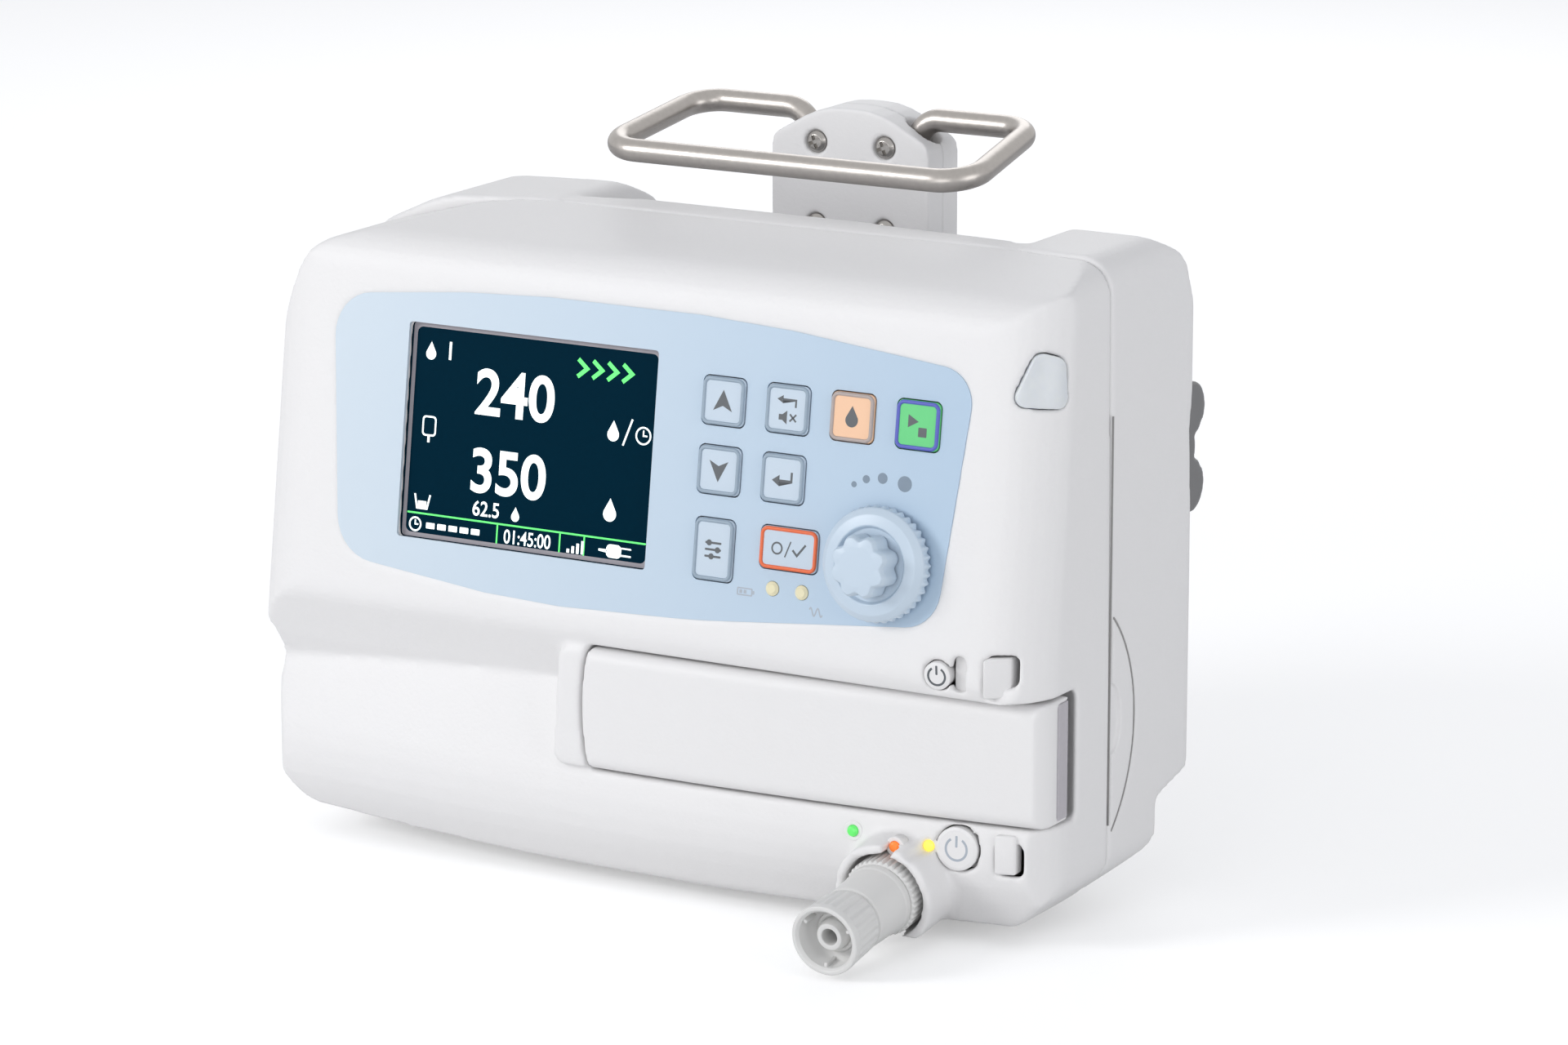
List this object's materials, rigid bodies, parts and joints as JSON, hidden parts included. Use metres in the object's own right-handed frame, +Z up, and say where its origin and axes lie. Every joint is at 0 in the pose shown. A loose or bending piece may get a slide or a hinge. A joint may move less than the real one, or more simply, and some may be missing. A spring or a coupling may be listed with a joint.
{
  "type": "infusion pump with pole clamp",
  "caption": "Bench and pole infusion pump: sloped control panel with keys and a dial, hinged pump door, line nozzle, rod handle and a screw clamp for an IV pole.",
  "frame": {"origin": "middle of the overall width and depth, on the surface that the feet stand on", "axes": "+X to the right seen from the front, +Y from the front panel to the pole clamp at the back, +Z up"},
  "size_m": [0.23, 0.1662, 0.193],
  "materials": {
    "body": "moulded warm off-white housing with a fine matte grain",
    "panel": "pale blue film over the control panel",
    "window": "dark navy display window",
    "board": "green circuit board with its parts",
    "key_blue": "pale blue key cap",
    "key_orange": "orange key cap",
    "key_green": "green key cap",
    "dial": "pale blue grey moulded dial",
    "domes": "soft switch domes",
    "lamp_clear": "clear light pipe",
    "lamp_green": "green indicator lens",
    "lamp_orange": "orange indicator lens",
    "lamp_yellow": "yellow indicator lens",
    "alarm": "milky alarm lens",
    "steel": "satin drawn stainless rod",
    "zinc": "bright plated screws, pins and shafts",
    "grey_trim": "blue grey trim and chassis",
    "dark_trim": "black inlet and dark pad",
    "ivory": "natural moulded gear and fingers",
    "brass": "turned brass pinion",
    "motor": "grey motor can and dial switch",
    "nozzle": "light grey nozzle",
    "clamp": "cast and blasted clamp frame",
    "knob": "grey glossy clamp knob",
    "rubber": "dark soft pad and feet",
    "battery": "blue sleeve round the cells"
  },
  "bodies": {
    "pump": {"front_housing": "body", "rear_housing": "body", "panel_skin": "panel", "display_window": "window", "display_module": "motor", "key_domes": "domes", "key_board": "board", "jog_encoder": "motor", "panel_lamps": "lamp_clear", "status_lamp_green": "lamp_green", "status_lamp_orange": "lamp_orange", "status_lamp_yellow": "lamp_yellow", "lamp_board": "board", "alarm_lens": "alarm", "pump_chassis": "grey_trim", "pump_fingers": "ivory", "pump_motor": "motor", "nozzle_socket": "nozzle", "nozzle_body": "nozzle", "nozzle_tube": "nozzle", "handle_bar": "steel", "handle_bracket_front": "body", "handle_bracket_rear": "body", "bracket_screws": "zinc", "clamp_frame": "clamp", "clamp_screws": "zinc", "battery_pack": "battery", "power_supply": "board", "main_board": "board", "mains_inlet": "dark_trim", "inlet_pins": "zinc", "feet": "rubber", "housing_screws": "zinc"},
    "key_up_body": {"key_up": "key_blue"},
    "key_down_body": {"key_down": "key_blue"},
    "key_back_body": {"key_back": "key_blue"},
    "key_enter_body": {"key_enter": "key_blue"},
    "key_mode_body": {"key_mode": "key_blue"},
    "key_ok_body": {"key_ok": "key_blue"},
    "key_purge_body": {"key_purge": "key_orange"},
    "key_start_body": {"key_start": "key_green"},
    "power_upper_body": {"power_button_upper": "body"},
    "power_lower_body": {"power_button_lower": "body"},
    "dial_ring": {"jog_ring": "dial"},
    "dial_knob": {"jog_knob": "dial"},
    "pump_door": {"door": "body", "door_end_strip": "panel", "door_platen": "rubber", "door_latch": "zinc", "hinge_pin": "zinc"},
    "cam_drive": {"camshaft": "zinc", "cam_gear": "ivory"},
    "pinion": {"motor_pinion": "brass"},
    "line_collar": {"nozzle_collar": "nozzle"},
    "pressure_pad": {"clamp_pad": "rubber"},
    "clamp_screw": {"clamp_spindle": "zinc", "clamp_knob": "knob"},
    "cover": {"battery_cover": "body"}
  },
  "joints": [
    {"name": "press_up", "type": "slide", "parent": "pump", "child": "key_up_body", "axis": [0, 0.9903, -0.1392], "range_m": [0, 0.0006], "stiffness_N_per_m": 400},
    {"name": "press_down", "type": "slide", "parent": "pump", "child": "key_down_body", "axis": [0, 0.9903, -0.1392], "range_m": [0, 0.0006], "stiffness_N_per_m": 400},
    {"name": "press_back", "type": "slide", "parent": "pump", "child": "key_back_body", "axis": [0, 0.9903, -0.1392], "range_m": [0, 0.0006], "stiffness_N_per_m": 400},
    {"name": "press_enter", "type": "slide", "parent": "pump", "child": "key_enter_body", "axis": [0, 0.9903, -0.1392], "range_m": [0, 0.0006], "stiffness_N_per_m": 400},
    {"name": "press_mode", "type": "slide", "parent": "pump", "child": "key_mode_body", "axis": [0, 0.9903, -0.1392], "range_m": [0, 0.0006], "stiffness_N_per_m": 400},
    {"name": "press_ok", "type": "slide", "parent": "pump", "child": "key_ok_body", "axis": [0, 0.9903, -0.1392], "range_m": [0, 0.0006], "stiffness_N_per_m": 400},
    {"name": "press_purge", "type": "slide", "parent": "pump", "child": "key_purge_body", "axis": [0, 0.9903, -0.1392], "range_m": [0, 0.0006], "stiffness_N_per_m": 400},
    {"name": "press_start", "type": "slide", "parent": "pump", "child": "key_start_body", "axis": [0, 0.9903, -0.1392], "range_m": [0, 0.0006], "stiffness_N_per_m": 400},
    {"name": "press_power_upper", "type": "slide", "parent": "pump", "child": "power_upper_body", "axis": [0, 1, 0], "range_m": [0, 0.0006], "stiffness_N_per_m": 400},
    {"name": "press_power_lower", "type": "slide", "parent": "pump", "child": "power_lower_body", "axis": [0, 1, 0], "range_m": [0, 0.0006], "stiffness_N_per_m": 400},
    {"name": "turn_dial_ring", "type": "hinge", "parent": "pump", "child": "dial_ring", "pos_m": [0.0724, -0.0464, 0.0963], "axis": [0, -0.9903, 0.1392], "continuous": true},
    {"name": "turn_dial_knob", "type": "hinge", "parent": "pump", "child": "dial_knob", "pos_m": [0.0724, -0.0464, 0.0963], "axis": [0, -0.9903, 0.1392], "continuous": true},
    {"name": "open_door", "type": "hinge", "parent": "pump", "child": "pump_door", "pos_m": [0.1045, -0.03325, 0.0488], "axis": [0, 0, 1], "range_deg": [0, 110]},
    {"name": "turn_camshaft", "type": "hinge", "parent": "pump", "child": "cam_drive", "pos_m": [0.049, -0.01425, 0.0488], "axis": [1, 0, 0], "continuous": true},
    {"name": "turn_pinion", "type": "hinge", "parent": "pump", "child": "pinion", "pos_m": [0.007, -0.01425, 0.0668], "axis": [1, 0, 0], "continuous": true},
    {"name": "turn_collar", "type": "hinge", "parent": "pump", "child": "line_collar", "pos_m": [0.0765, -0.04825, 0.0146], "axis": [0, -0.9925, -0.1219], "continuous": true},
    {"name": "push_pad", "type": "slide", "parent": "pump", "child": "pressure_pad", "axis": [-1, 0, 0], "range_m": [0, 0.014]},
    {"name": "turn_clamp_knob", "type": "hinge", "parent": "pressure_pad", "child": "clamp_screw", "pos_m": [0.06, 0.06575, 0.104], "axis": [-1, 0, 0], "range_deg": [0, 1680]},
    {"name": "pull_cover", "type": "slide", "parent": "pump", "child": "cover", "axis": [1, 0, 0], "range_m": [0, 0.012]}
  ],
  "couplings": [
    {"joint": "turn_pinion", "follows": "turn_camshaft", "ratio": -2},
    {"joint": "turn_clamp_knob", "follows": "push_pad", "rad_per_m": 2094.4}
  ]
}
